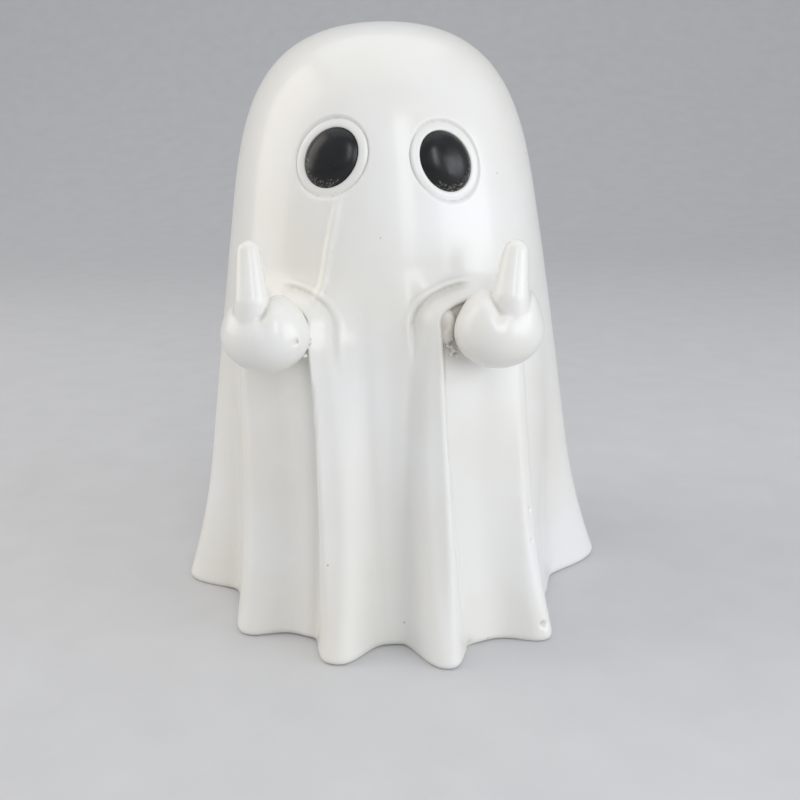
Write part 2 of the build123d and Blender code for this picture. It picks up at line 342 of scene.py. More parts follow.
def sharp_sheet(name, bearing, z):
    """How far the outside stands out from the plain sheet, with folds, sleeve, crease and panel."""
    sheet = folds(FOLDS[name], bearing, z)
    front, outer, across, aloft = doorway(name, bearing, z)
    away = np.clip(-front, 0, None)
    beside = smoothstep(outer / SOFT_EDGE) * smoothstep(z / CUFF_HEM_REACH)
    sheet = sheet + CUFF * np.clip(1 - away / CUFF_WIDTH, 0, 1) ** 2 * beside
    apart = away / (1 - ARCH_NARROWING * aloft)
    band = smoothstep((apart - BAND_START) / (BAND_DEEPEST - BAND_START))
    band = band * (1 - smoothstep((apart - BAND_EDGE) / (BAND_END - BAND_EDGE)))
    lip = np.exp(-(((apart - LIP_AT) / LIP_WIDTH) ** 2))
    sleeve = smoothstep((z - SLEEVE_START) / (ARCH_FOOT - SLEEVE_START)) * smoothstep(-across / ARCH_FADE)
    sheet = sheet + BAND_DEPTH[name] * (LIP_SHARE * lip - band) * sleeve
    if name == CREASE_SIDE:
        sheet = sheet + crease(bearing, z)
    edge = EDGE_AT_HAND + (EDGE_AT_HEM - EDGE_AT_HAND) * np.clip(1 - z / EDGE_REACH, 0, 1)
    inside = smoothstep(front / edge) * (1 - np.clip(1 - outer / SOFT_EDGE, 0, 1) ** 2) * (outer > 0)
    hem_level, arm_level = PANEL_LEVEL[name]
    panel = arm_level + (hem_level - arm_level) * np.clip(1 - z / ARM_HEIGHT, 0, 1) ** HANG_POWER
    return sheet + (panel - sheet) * inside


print("hollow bands", list(BAND_DEPTH.values()), "mm deep, crease", CREASE_PROUD, "mm proud")

# %% [markdown]
# The slip and the glaze round every edge off, most at the hem, where both run thickest. A smoothing modifier
# would soften the whole skin alike, so the law itself is averaged over nearby bearings instead, over a
# greater length at the hem than at the hands.

# %% Edges rounded off: steps as shares of the softened length, with their weights
SOFT_AT_HEM = 1.5
SOFT_AT_HAND = 0.3
SOFT_STEPS = {-1.5: 0.11, -0.9: 0.22, -0.3: 0.17, 0.3: 0.17, 0.9: 0.22, 1.5: 0.11}


def standing_out(bearing, z):
    """How far the rounded sheet stands out, for bearings from -180 on the left to 180 on the right."""
    soft = SOFT_AT_HAND + (SOFT_AT_HEM - SOFT_AT_HAND) * np.clip(1 - z / EDGE_REACH, 0, 1) ** 2
    soft = np.degrees(soft / side_radius(np.minimum(z, SHOULDER_HEIGHT)))
    total = 0
    for step, weight in SOFT_STEPS.items():
        near = (bearing + step * soft + 180) % 360 - 180
        right, left = (sharp_sheet(name, np.abs(near), z) for name in ("right", "left"))
        total = total + weight * np.where(near >= 0, right, left)
    return total


print("edges rounded over", SOFT_AT_HEM, "mm at the hem and", SOFT_AT_HAND, "mm at the hands")

# %% [markdown]
# ## Casting the sheet
# A sphere already has what the body needs: rings from one pole to the other, closed everywhere. Its upper
# rings are laid along the outside from the crown to the hem, the next few round the hem's edge, and the
# rest up the inside, so that the shell is one watertight skin with a real wall. The rings' points are
# drawn together towards the front, where the folds are sharpest. The inside follows the hollows of the
# folds but not their ridges, which the slip fills.

# %% Body: rings of a sphere laid along the section
SEGMENTS = 300
OUTSIDE_RINGS = 152
HEM_RINGS = 8
UNDER_RINGS = 4
INSIDE_RINGS = 26
FRONT_CROWDING = 0.45
RIDGE_FILL = 3.0

out_radius, out_height = section(0.0, HEM_ROUND, OUTSIDE_RINGS)
hem_turn = np.linspace(0, math.pi / 2, HEM_RINGS + 1)[1:]
in_radius, in_height = section(WALL, 0.0, INSIDE_RINGS)
ring_height = np.concatenate([
    out_height,
    HEM_ROUND * (1 - np.sin(hem_turn)),
    np.zeros(UNDER_RINGS),
    in_height[::-1],
])
ring_radius = np.concatenate([
    out_radius,
    side_radius(HEM_ROUND * (1 - np.sin(hem_turn))) - HEM_ROUND * (1 - np.cos(hem_turn)),
    np.full(UNDER_RINGS, side_radius(0.0) - HEM_ROUND),
    in_radius[::-1],
])
ring_inside = np.concatenate([
    np.zeros(OUTSIDE_RINGS + HEM_RINGS),
    np.linspace(0, 1, UNDER_RINGS + 2)[1:-1],
    np.ones(INSIDE_RINGS),
])
rings = len(ring_height) - 1
bpy.ops.mesh.primitive_uv_sphere_add(segments=SEGMENTS, ring_count=rings, radius=MM)
body = bpy.context.object
body.name = "draped_sheet"

ball = points_of(body)
ring = np.rint(np.arccos(np.clip(ball[:, 2], -1, 1)) / math.pi * rings).astype(int)
angle = np.arctan2(ball[:, 0], -ball[:, 1])
angle = angle - FRONT_CROWDING * np.sin(angle)
height = ring_height[ring]
out = standing_out(np.degrees(angle), height)
outside = ring_radius[ring] + out
fill = -RIDGE_FILL * np.clip(1 - height / ARM_HEIGHT, 0, 1)
inside = np.where(ring_inside[ring] == 1, ring_radius[ring], side_radius(0.0) - WALL)
inside = inside + np.minimum(out, fill)
radius = outside + (inside - outside) * ring_inside[ring]
radius = np.where((ring == 0) | (ring == rings), 0, radius)
move_points(body, np.column_stack([radius * np.sin(angle), -radius * np.cos(angle), height]))
select_only(body)
bpy.ops.object.mode_set(mode="EDIT")
bpy.ops.mesh.select_all(action="SELECT")
bpy.ops.mesh.normals_make_consistent(inside=False)
bpy.ops.object.mode_set(mode="OBJECT")
bpy.ops.object.shade_smooth()
print("body", len(body.data.vertices), "points, reaches", round(radius.max(), 1), "mm from the middle")

# %% [markdown]
# ## Where the eyes and hands sit
# The frame knows these places, so they are read from its nodes and not guessed. An eye's node is a thin
# oval: the way its points spread least is the way it faces, and the way they spread most is its length.
# The ring of glue round a wrist gives a hand's seat in the same manner.

# %% Seats of the eyes and hands
def seat_of(node):
    """Middle of a flat node, and the ways it is long, wide and thin, the last pointing outwards."""
    # A node's triangles are loose, so points that are equal to a micron are merged first.
    points = np.unique(np.round(points_of(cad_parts[node]), 3), axis=0)
    middle = (points.min(0) + points.max(0)) / 2
    _, _, (long, wide, thin) = np.linalg.svd(points - points.mean(0), full_matrices=False)
    thin = thin * np.sign(thin @ (middle * (1, 1, 0)))
    long = long * np.sign(long[2])
    return middle, long, np.cross(long, thin), thin


SIDES = {"left": -1, "right": 1}
EYE_SEATS = {name: seat_of(name + "_eye") for name in SIDES}
HAND_SEATS = {name: seat_of(name + "_hand_glue") for name in SIDES}
for name in SIDES:
    print(name, "eye at", EYE_SEATS[name][0].round(1), "hand seat at", HAND_SEATS[name][0].round(1))

# %% [markdown]
# ## Finer faces where the detail is
# The body's rings are close enough for folds but too coarse for the sleeves' edges, for the thin line
# round an eye and for the small marks of making. More rings everywhere would waste faces on the plain
# back, so only the faces near those places are subdivided, and the new points are laid on the same law.

# %% Finer faces at the eyes, the sleeves and the marks, each mark a bearing and a height
EYE_REACH = 10.0
SLEEVE_REACH = 15.5
SLEEVE_RISE = 3.0
MARK_REACH = 3.5
LAYING_MARGIN = 2.0
FINE_CUTS = 2
PINHOLE = (37.3, 3.6)
CHIP = (19.4, 1.0)
RIDGE_NICKS = ((39.2, 26.0), (38.2, 20.0))


def on_outside(bearing, z):
    """The point of the sheet's outside at a bearing in degrees and a height."""
    radius = float(side_radius(np.array(z)) + standing_out(np.array(bearing), np.array(z)))
    turn = math.radians(bearing)
    return np.array([radius * math.sin(turn), -radius * math.cos(turn), z])


fine_spots = [(middle, EYE_REACH) for middle, *_ in EYE_SEATS.values()]
fine_spots += [(middle + np.array([0, 0, SLEEVE_RISE]), SLEEVE_REACH) for middle, *_ in HAND_SEATS.values()]
fine_spots += [(on_outside(*mark), MARK_REACH) for mark in (PINHOLE, CHIP, *RIDGE_NICKS)]


def near_detail(places, spare):
    """Which places on the outside lie within reach of a fine spot, and the plain sheet's radius there."""
    near = np.zeros(len(places), bool)
    for spot, reach in fine_spots:
        near |= np.linalg.norm(places - spot, axis=1) < reach + spare
    plain = np.interp(places[:, 2], out_height[::-1], out_radius[::-1])
    return near & (np.hypot(places[:, 0], places[:, 1]) > plain - LAYING_MARGIN), plain


select_only(body)
bpy.ops.object.mode_set(mode="EDIT")
bpy.ops.mesh.select_mode(type="FACE")
bpy.ops.mesh.select_all(action="DESELECT")
bpy.ops.object.mode_set(mode="OBJECT")
middles = np.zeros(3 * len(body.data.polygons))
body.data.polygons.foreach_get("center", middles)
chosen, _ = near_detail(middles.reshape(-1, 3) / MM, 0)
body.data.polygons.foreach_set("select", chosen)
bpy.ops.object.mode_set(mode="EDIT")
bpy.ops.mesh.subdivide(number_cuts=FINE_CUTS)
bpy.ops.object.mode_set(mode="OBJECT")

points = points_of(body)
fine, plain = near_detail(points, LAYING_MARGIN)
fine &= points[:, 2] > HEM_ROUND
bearing = np.arctan2(points[:, 0], -points[:, 1])
laid = plain + standing_out(np.degrees(bearing), points[:, 2])
points[fine, 0] = (laid * np.sin(bearing))[fine]
points[fine, 1] = (-laid * np.cos(bearing))[fine]
move_points(body, points)
print("faces made finer:", chosen.sum(), "and now", len(body.data.polygons), "in all")

# %% [markdown]
# ## Sockets for the eyes
# Each rim sits in a shallow dip of the head, which leaves the thin grey line round it, and inside the rim
# the head falls away to a flat floor. A boolean cut would leave ragged faces on so soft a skin, so both are
# pressed in along the eye's own axis.

# %% Dips and floors of the eye sockets
EYE_HALF_WIDTH = 4.85
EYE_HALF_LENGTH = 5.75
EYE_BACK = 0.8
RIM_INNER = 0.05
RIM_WIDTH = 1.75
SOCKET_DEPTH = 2.1
DIP_WIDTH = 0.6
DIP_DEPTH = 0.5
LEAST_SHARE = 0.000001


def eye_margin(seat, points):
    """Distance of points outside an eye's oval, measured across its plane, and their height over it."""
    middle, long, wide, thin = seat
    away = points - middle
    across = away @ wide
    along = away @ long
    share = np.maximum(np.hypot(across / EYE_HALF_WIDTH, along / EYE_HALF_LENGTH), LEAST_SHARE)
    return np.hypot(across, along) * (1 - 1 / share), away @ thin


points = points_of(body)
for seat in EYE_SEATS.values():
    middle, _, _, thin = seat
    margin, over = eye_margin(seat, points)
    near = fine & (np.linalg.norm(points - middle, axis=1) < EYE_REACH)
    dip = DIP_DEPTH * (1 - smoothstep((margin - RIM_WIDTH) / DIP_WIDTH))
    floor_drop = np.clip(over + SOCKET_DEPTH, 0, None) * (margin < RIM_WIDTH / 2)
    points -= np.outer(np.where(near, np.maximum(dip, floor_drop), 0), thin)
move_points(body, points)
print("sockets pressed", SOCKET_DEPTH, "mm deep")

# %% [markdown]
# ## Eye rims
# A rim is a soft ring of clay, laid round the eye and pressed flat on top. A circle with a bevel would give
# a ring too, but a torus already has its round tube: it is stretched to the eye's oval, its top is flattened,
# its underside is pulled down into the socket so that no gap shows, and it is bent a little with the head.

# %% Rims
RIM_TUBE = RIM_WIDTH / 2
RIM_PROUD = 0.42
RIM_THICK = 0.75
RIM_FLATNESS = 0.34
RIM_SKIRT = 2.2
HEAD_BEND = 1 / 75.0
RIM_STEPS = 112
RIM_TUBE_STEPS = 44
TORUS_TUBE = 0.2


def place_piece(piece, seat, origin):
    """Move a piece modelled at the origin, wide along X, long along Y and thin along Z, to its seat."""
    _, long, wide, thin = seat
    local = points_of(piece)
    move_points(piece, origin + local @ np.array([wide, long, thin]))
    select_only(piece)
    bpy.ops.object.mode_set(mode="EDIT")
    bpy.ops.mesh.select_all(action="SELECT")
    bpy.ops.mesh.normals_make_consistent(inside=False)
    bpy.ops.object.mode_set(mode="OBJECT")
    bpy.ops.object.shade_smooth()


def eye_face(name):
    """The point on the head's surface in front of the eye's middle."""
    middle, _, _, thin = EYE_SEATS[name]
    return middle + thin * EYE_BACK


rims = {}
for name in SIDES:
    bpy.ops.object.select_all(action="DESELECT")
    bpy.ops.mesh.primitive_torus_add(
        major_radius=MM, minor_radius=TORUS_TUBE * MM, major_segments=RIM_STEPS, minor_segments=RIM_TUBE_STEPS
    )
    rim = bpy.context.object
    rim.name = name + "_rim"
    ringed = points_of(rim)
    round_angle = np.arctan2(ringed[:, 1], ringed[:, 0])
    tube_out = (np.hypot(ringed[:, 0], ringed[:, 1]) - 1) / TORUS_TUBE
    tube_up = ringed[:, 2] / TORUS_TUBE
    middle_line = RIM_INNER + RIM_TUBE
    half_width = EYE_HALF_WIDTH + middle_line
    half_length = EYE_HALF_LENGTH + middle_line
    # The tube stands square to the oval all the way round.
    slant_across = np.cos(round_angle) / half_width
    slant_along = np.sin(round_angle) / half_length
    tube = tube_out * RIM_TUBE / np.hypot(slant_across, slant_along)
    across = np.cos(round_angle) * half_width + tube * slant_across
    along = np.sin(round_angle) * half_length + tube * slant_along
    flat_top = np.abs(tube_up) ** RIM_FLATNESS * RIM_THICK
    up = np.where(tube_up >= 0, flat_top, tube_up * RIM_SKIRT)
    up = up + RIM_PROUD - RIM_THICK - (across**2 + along**2) * HEAD_BEND
    move_points(rim, np.column_stack([across, along, up]))
    place_piece(rim, EYE_SEATS[name], eye_face(name))
    rims[name] = rim
print("rims", [len(rim.data.vertices) for rim in rims.values()], "points")

# %% [markdown]
# ## Eyes
# The eyes are flat-backed black cabochons, glued in and tucked under the rims' inner edge. A sphere gives
# the dome and the back at once: its upper half is stretched to the dome's height and its lower half pressed
# almost flat. A value kept on the points says where dust settles: low down, at the edge.

# %% Eyes: dust as shares of the eye's half width and half length
EYE_DOME = 2.7
EYE_FULLNESS = 0.95
EYE_BELOW = 0.7
EYE_SUNK = 1.05
EYE_TUCK = 0.25
EYE_STEPS = 96
EYE_RINGS = 64
DUST_FROM = 0.4
DUST_SPREAD = 0.45
DUST_TOP = 0.2
DUST_FALL = 0.7

eyes = {}
for name in SIDES:
    bpy.ops.object.select_all(action="DESELECT")
    bpy.ops.mesh.primitive_uv_sphere_add(segments=EYE_STEPS, ring_count=EYE_RINGS, radius=MM)
    eye = bpy.context.object
    eye.name = name + "_cabochon"
    ball = points_of(eye)
    above = np.clip(ball[:, 2], 0, 1) ** EYE_FULLNESS * EYE_DOME
    below = np.clip(ball[:, 2], -1, 0) * EYE_BELOW
    size = np.array([EYE_HALF_WIDTH, EYE_HALF_LENGTH]) + EYE_TUCK
    move_points(eye, np.column_stack([ball[:, :2] * size, above + below - EYE_SUNK]))
    at_edge = smoothstep((np.hypot(ball[:, 0], ball[:, 1]) - DUST_FROM) / DUST_SPREAD)
    settled = at_edge * smoothstep((DUST_TOP - ball[:, 1]) / DUST_FALL)
    eye.data.attributes.new("settled", "FLOAT", "POINT").data.foreach_set("value", settled)
    place_piece(eye, EYE_SEATS[name], eye_face(name))
    eyes[name] = eye
print("eyes", [len(eye.data.vertices) for eye in eyes.values()], "points")

# %% [markdown]
# ## Hands
# Each hand is a plump fist, like a small bowl, with one raised finger that runs down into the fist's front
# without a crease. It could be sculpted from one ball, but the finger would pull the fist out of shape. So
# round masses are set together, a voxel remesh melts them into one skin as wet clay would, and a smoothing
# rounds what is left of the joins. Three short functions do that: a ball, a tapered bar and the melting.

# %% Balls, bars and melting
BALL_STEPS = 40
BAR_STEPS = 48
SMOOTHING_FACTOR = 0.5


def ball_at(spot, size, steps=BALL_STEPS):
    """A ball stretched to a size, at a spot in millimetres."""
    bpy.ops.mesh.primitive_uv_sphere_add(segments=steps, ring_count=steps // 2, radius=1)
    ball = bpy.context.object
    ball.scale = Vector(size) * MM
    ball.location = Vector(spot) * MM
    return ball


def bar_between(low, high, low_radius, high_radius):
    """A tapered round bar between two spots in millimetres."""
    run = Vector(high) - Vector(low)
    bpy.ops.mesh.primitive_cone_add(
        vertices=BAR_STEPS, radius1=low_radius * MM, radius2=high_radius * MM, depth=run.length * MM,
        location=(Vector(low) + Vector(high)) / 2 * MM, rotation=run.to_track_quat("Z", "Y").to_euler(),
    )
    return bpy.context.object


def melt(masses, name, voxel, smoothing):
    """Join masses into one piece, melt them together and smooth the skin."""
    select_only(*masses)
    bpy.ops.object.transform_apply(location=True, rotation=True, scale=True)
    bpy.ops.object.join()
    piece = bpy.context.object
    piece.name = name
    bpy.ops.object.origin_set(type="ORIGIN_CURSOR")
    modify(piece, "REMESH", mode="VOXEL", voxel_size=voxel * MM)
    modify(piece, "SMOOTH", factor=SMOOTHING_FACTOR, iterations=smoothing)
    return piece


print("melting smooths by", SMOOTHING_FACTOR, "a round")

# %% [markdown]
# The bowl's rim rises on either side of the finger as a knuckle, and a notch parts the finger from the inner
# one. More balls would make lumps, so the fist's own upper points are raised and lowered. Knuckles and notch
# are laid out across the figure's front, as they are seen, and not across the hand, which is turned outwards.

# %% Fists: half sizes, and knuckles and notch as places across and widths, in millimetres
FIST = (8.6, 6.9, 7.5)
FIST_STEPS = 96
KNUCKLE_PLACE = (-3.8, 3.2)
NOTCH_PLACE = (-0.6, 0.9)
OUTER_PLACE = (6.0, 1.9)
FULL_RISE_AT = 0.7
HAND_TURN = math.radians(29)


def bowl(hand, side):
    """A fist: a ball with its upper points raised for the knuckles and lowered for the notch."""
    fist = ball_at((0, 0, 0), FIST, FIST_STEPS)
    ball = points_of(fist) * MM
    aside = math.cos(HAND_TURN) * ball[:, 0] * side * FIST[0] + math.sin(HAND_TURN) * ball[:, 2] * FIST[2]
    rise = 0
    for (place, width), height in (
        (KNUCKLE_PLACE, hand["knuckle"]), (NOTCH_PLACE, -hand["notch"]), (OUTER_PLACE, hand["outer"])
    ):
        rise = rise + height / FIST[1] * np.exp(-(((aside - place) / width) ** 2))
    ball[:, 1] += rise * smoothstep(ball[:, 1] / FULL_RISE_AT)
    move_points(fist, ball / MM)
    return fist


print("fists", 2 * FIST[0], "mm wide,", 2 * FIST[1], "mm tall")

# %% [markdown]
# The finger is two tapered bars with a ball at the waist and one at the tip, and a short wrist runs back into
# the sheet. The two hands differ a little: the right finger is shorter and stouter and leans out more.

# %% Hands: the finger's foot as place out and radius, its waist and tip as place out, rise and radius
FIST_REACH = 8.7
FOOT_PROUD = 3.6
WAIST_PROUD = 3.3
TIP_PROUD = 1.8
WRIST_RADIUS = 4.0
WRIST_FLARE = 4.4
WRIST_END = -2.0
HAND_VOXEL = 0.25
HAND_SMOOTHING = 26
HANDS = {
    "left": {
        "foot": (0.2, 3.2), "waist": (-0.1, 6.8, 3.2), "tip": (1.3, 15.4, 2.15),
        "knuckle": 1.0, "notch": 0.9, "outer": 0.8,
    },
    "right": {
        "foot": (0.3, 3.4), "waist": (0.1, 6.6, 3.4), "tip": (2.2, 14.3, 2.4),
        "knuckle": 1.3, "notch": 0.9, "outer": 2.3,
    },
}


def upright_seat(name):
    """A hand's seat with its length upright, its width across and its depth pointing outwards."""
    middle, _, _, thin = HAND_SEATS[name]
    upright = np.array([0, 0, 1.0])
    return middle, upright, np.cross(upright, thin), thin


def fist_middle(name):
    """The middle of a fist, out from the seat of its wrist."""
    middle, _, _, thin = HAND_SEATS[name]
    return middle + thin * FIST_REACH


hands = {}
for name, side in SIDES.items():
    hand = HANDS[name]
    bpy.ops.object.select_all(action="DESELECT")
    foot_out, foot_radius = hand["foot"]
    waist_out, waist_rise, waist_radius = hand["waist"]
    tip_out, tip_rise, tip_radius = hand["tip"]
    foot = Vector((foot_out * side, 0.0, FOOT_PROUD))
    waist = Vector((waist_out * side, waist_rise, WAIST_PROUD))
    tip = Vector((tip_out * side, tip_rise, TIP_PROUD))
    masses = [
        bowl(hand, side),
        bar_between(foot, waist, foot_radius, waist_radius),
        ball_at(waist, [waist_radius] * 3),
        bar_between(waist, tip, waist_radius, tip_radius),
        ball_at(tip, [tip_radius] * 3),
        bar_between((0, 0, -FIST_REACH), (0, 0, WRIST_END), WRIST_RADIUS, WRIST_FLARE),
    ]
    fist = melt(masses, name + "_fist", HAND_VOXEL, HAND_SMOOTHING)
    place_piece(fist, upright_seat(name), fist_middle(name))
    hands[name] = fist
print("hands", [len(hand.data.polygons) for hand in hands.values()], "faces")

# %% [markdown]
# ## Glue
# The hands were stuck on by hand: a bead of glue runs round each wrist and thickens at its inner side, and
# rough crumbs of it stand out where the fist meets the rib. A displaced ring would be rough all round, so a
# ring, a long ball and a scatter of small balls are melted together like the hands, and left rough.

# %% Glue beads and crumbs: where crumbs lie as nearest, furthest, lowest and highest, and turns in degrees
GLUE_RING = 4.9
GLUE_TUBE = 1.3
BEAD_PLACE = {"left": (5.6, 0.5), "right": (7.0, 1.3)}
BEAD_RISE = 0.4
BEAD_SIZE = (1.8, 3.6, 2.0)
CRUMB_PLACE = {"left": (6.5, 7.4, 3.2, 5.2), "right": (6.6, 8.2, 1.4, 3.6)}
CRUMB_TURN = {"left": (-30, 12), "right": (-50, 10)}
CRUMB_RADIUS = (0.25, 0.65)
CRUMB_STRETCH = (0.7, 1.3)
CRUMB_DROP = 0.5
CRUMB_STEPS = 12
CRUMBS = 14
CRUMB_SEED = 7
GLUE_VOXEL = 0.16
GLUE_SMOOTHING = 1

glues = {}
for name, side in SIDES.items():
    bpy.ops.object.select_all(action="DESELECT")
    bpy.ops.mesh.primitive_torus_add(major_radius=GLUE_RING * MM, minor_radius=GLUE_TUBE * MM)
    aside, proud = BEAD_PLACE[name]
    masses = [bpy.context.object, ball_at((-aside * side, BEAD_RISE, proud), BEAD_SIZE)]
    nearest, furthest, lowest, highest = CRUMB_PLACE[name]
    draw = np.random.default_rng(CRUMB_SEED + side)
    for _ in range(CRUMBS):
        turn = math.radians(draw.uniform(*CRUMB_TURN[name]))
        reach = draw.uniform(nearest, furthest)
        size = draw.uniform(*CRUMB_RADIUS)
        proud = draw.uniform(lowest, highest)
        spot = (-side * reach * math.cos(turn), reach * math.sin(turn) - CRUMB_DROP, proud)
        masses.append(ball_at(spot, (size, size * draw.uniform(*CRUMB_STRETCH), size), CRUMB_STEPS))
    glue = melt(masses, name + "_glue_bead", GLUE_VOXEL, GLUE_SMOOTHING)
    middle, *_ = HAND_SEATS[name]
    place_piece(glue, upright_seat(name), middle)
    glues[name] = glue
print("glue", [len(glue.data.polygons) for glue in glues.values()], "faces")

# %% [markdown]
# ## Marks of making
# No cast comes out perfect. A pinhole stayed open in the right side lobe, a chip is missing from the hem
# beside the right rib, the right side ridge has two nicks and the left fist a small pit. They are dents in
# the mesh, pressed in where they are on the figure, because a painted spot would not catch the light.

# %% Pinhole, chip, nicks and pit: reach and depth of each dent
PINHOLE_DENT = (0.95, 1.5)
CHIP_DENT = (1.6, 0.8)
NICK_DENT = (0.7, 0.5)
PIT_DENT = (1.1, 1.5)
PIT_PLACE = (5.6, -5.6, -0.2)


def dent(piece, spot, reach, depth):
    """Press a round dent into a piece at a spot, towards the middle of the figure."""
    points = points_of(piece)
    away = np.linalg.norm(points - np.array(spot), axis=1)
    push = depth * smoothstep(1 - away / reach)
    inwards = points * (1, 1, 0) / np.maximum(np.hypot(points[:, 0], points[:, 1]), 1)[:, None]
    move_points(piece, points - inwards * push[:, None])
    return int((away < reach).sum())


pit = fist_middle("left") + np.array(PIT_PLACE)
marks = [
    dent(body, on_outside(*PINHOLE), *PINHOLE_DENT),
    dent(body, on_outside(*CHIP), *CHIP_DENT),
    *(dent(body, on_outside(*nick), *NICK_DENT) for nick in RIDGE_NICKS),
    dent(hands["left"], pit, *PIT_DENT),
]
print("marks: points moved", marks)

# %% [markdown]
# ## Where glaze pools and shade is painted
# Glaze runs thin over an edge and thick into a crease, and shade falls into creases, so creases are painted a
# touch greyer and warmer, partly as pooled glaze and partly as painted shade, and edges a touch whiter as
# painted light. Each point's depth under the mean of its neighbours, against their distance, gives the bend
# of the skin there. It is measured once here and kept on the mesh as a value that the glaze reads.

# %% Hollows of the glazed pieces: rounds of evening out, and the radius in millimetres of a full hollow
HOLLOW_ROUNDS = 3
FULL_HOLLOW = 1.6


def mark_hollows(piece):
    """Keep on each point a value from 0 on edges, through 0.5 on plain faces, to 1 in hollows."""
    mesh = piece.data
    points = points_of(piece)
    edges = np.zeros(2 * len(mesh.edges), int)
    mesh.edges.foreach_get("vertices", edges)
    first, second = edges.reshape(-1, 2).T
    count = np.bincount(edges, minlength=len(points))[:, None]
    normals = np.zeros(3 * len(points))
    mesh.vertices.foreach_get("normal", normals)
    total = np.zeros_like(points)
    np.add.at(total, first, points[second])
    np.add.at(total, second, points[first])
    square = ((points[first] - points[second]) ** 2).sum(1)
    squares = np.bincount(first, square, len(points)) + np.bincount(second, square, len(points))
    depth = ((total / count - points) * normals.reshape(-1, 3)).sum(1)
    hollow = np.clip(2 * depth / (squares / count[:, 0]) * FULL_HOLLOW, -1, 1)
    for _ in range(HOLLOW_ROUNDS):
        total = np.zeros(len(points))
        np.add.at(total, first, hollow[second])
        np.add.at(total, second, hollow[first])
        hollow = (hollow + total / count[:, 0]) / 2
    kept = mesh.attributes.new("hollow", "FLOAT", "POINT")
    kept.data.foreach_set("value", np.clip(hollow / 2 + 0.5, 0, 1))
    return round(float(hollow.std()), 3)


print("hollows", [mark_hollows(piece) for piece in (body, *rims.values(), *hands.values())])

# %% [markdown]
# ## Finishes
# Every finish is built from the surface itself: places on the object and values kept on its points drive
# it, so it stays put when the figure is turned. Pictures could be wrapped round the pieces instead, but
# they would need a map and show its seams. One small function adds a node, sets it and links it.

# %% Colours and nodes
def linear(text):
    """An sRGB hex colour as linear red, green, blue and alpha."""
    shares = [int(text[start:start + 2], 16) / 255 for start in (1, 3, 5)]
    light = [share / 12.92 if share <= 0.04045 else ((share + 0.055) / 1.055) ** 2.4 for share in shares]
    return light + [1.0]


def per_mm(size):
    """The texture scale whose features are about this many millimetres across."""
    return 1 / (size * MM)


def add_node(material, kind, sockets=None, **settings):
    """Add a node with its settings, and fill its sockets with values or with other nodes' outputs."""
    node = material.node_tree.nodes.new(kind)
    for name, value in settings.items():
        setattr(node, name, value)
    for name, value in (sockets or {}).items():
        if isinstance(value, bpy.types.NodeSocket):
            material.node_tree.links.new(value, node.inputs[name])
        else:
            node.inputs[name].default_value = value
    return node


def new_material(name, shader_values):
    """A material with its shader's plain values set, the shader, and the object's own coordinates."""
    material = bpy.data.materials.new(name)
    material.use_nodes = True
    shader = material.node_tree.nodes["Principled BSDF"]
    for socket, value in shader_values.items():
        shader.inputs[socket].default_value = value
    place = add_node(material, "ShaderNodeTexCoord").outputs["Object"]
    return material, shader, place


def set_ramp(node, *stops):
    """Give a colour ramp its stops, each a position and a hex colour."""
    ramp = node.color_ramp
    while len(ramp.elements) < len(stops):
        ramp.elements.new(1.0)
    for element, (position, colour) in zip(ramp.elements, stops):
        element.position = position
        element.color = linear(colour)


# A mix node has a set of sockets for each kind of value. These are the colour ones.
MIX_FIRST, MIX_SECOND, MIX_RESULT = 6, 7, 2
print("texture scale of a millimetre:", per_mm(1))

# %% [markdown]
# ### White glazed ceramic
# A thick white glaze: a soft gloss over a warm white body, slightly uneven, with a fine orange-peel skin, a
# greyer tone in hollows, partly pooled glaze and partly painted shade, and a scatter of tiny specks.

# %% White glazed ceramic
glaze, shader, place = new_material("white_glazed_ceramic", {
    "Roughness": 0.36, "IOR": 1.5, "Coat Weight": 0.4, "Coat Roughness": 0.14, "Coat IOR": 1.5,
})
# Broad, faint patches, as where the glaze was poured thicker.
patches = add_node(glaze, "ShaderNodeTexNoise", {"Vector": place, "Scale": per_mm(26), "Detail": 3.0})
tone = add_node(glaze, "ShaderNodeValToRGB", {"Fac": patches.outputs["Fac"]})
set_ramp(tone, (0.3, "#e9e6de"), (0.7, "#eeeeec"))
# Hollows hold more glaze and are painted greyer, partly as painted shade; edges are painted a touch whiter as
# painted light.
hollow = add_node(glaze, "ShaderNodeAttribute", attribute_name="hollow")
pool_and_crease_shade = add_node(glaze, "ShaderNodeValToRGB", {"Fac": hollow.outputs["Fac"]})
set_ramp(pool_and_crease_shade, (0.3, "#ffffff"), (0.6, "#fcfcfb"), (1.0, "#dedbd4"))
shaded = add_node(glaze, "ShaderNodeMix", {
    "Factor": 1.0, MIX_FIRST: tone.outputs["Color"], MIX_SECOND: pool_and_crease_shade.outputs["Color"],
}, data_type="RGBA", blend_type="MULTIPLY")
# Specks: pinpricks of bare body, under half a millimetre across.
specks = add_node(glaze, "ShaderNodeTexVoronoi", {"Vector": place, "Scale": per_mm(7.5)}, feature="F1")
spotted = add_node(glaze, "ShaderNodeValToRGB", {"Fac": specks.outputs["Distance"]})
set_ramp(spotted, (0.012, "#b9b3a7"), (0.035, "#ffffff"))
speckled = add_node(glaze, "ShaderNodeMix", {
    "Factor": 1.0, MIX_FIRST: shaded.outputs[MIX_RESULT], MIX_SECOND: spotted.outputs["Color"],
}, data_type="RGBA", blend_type="MULTIPLY")
glaze.node_tree.links.new(speckled.outputs[MIX_RESULT], shader.inputs["Base Color"])
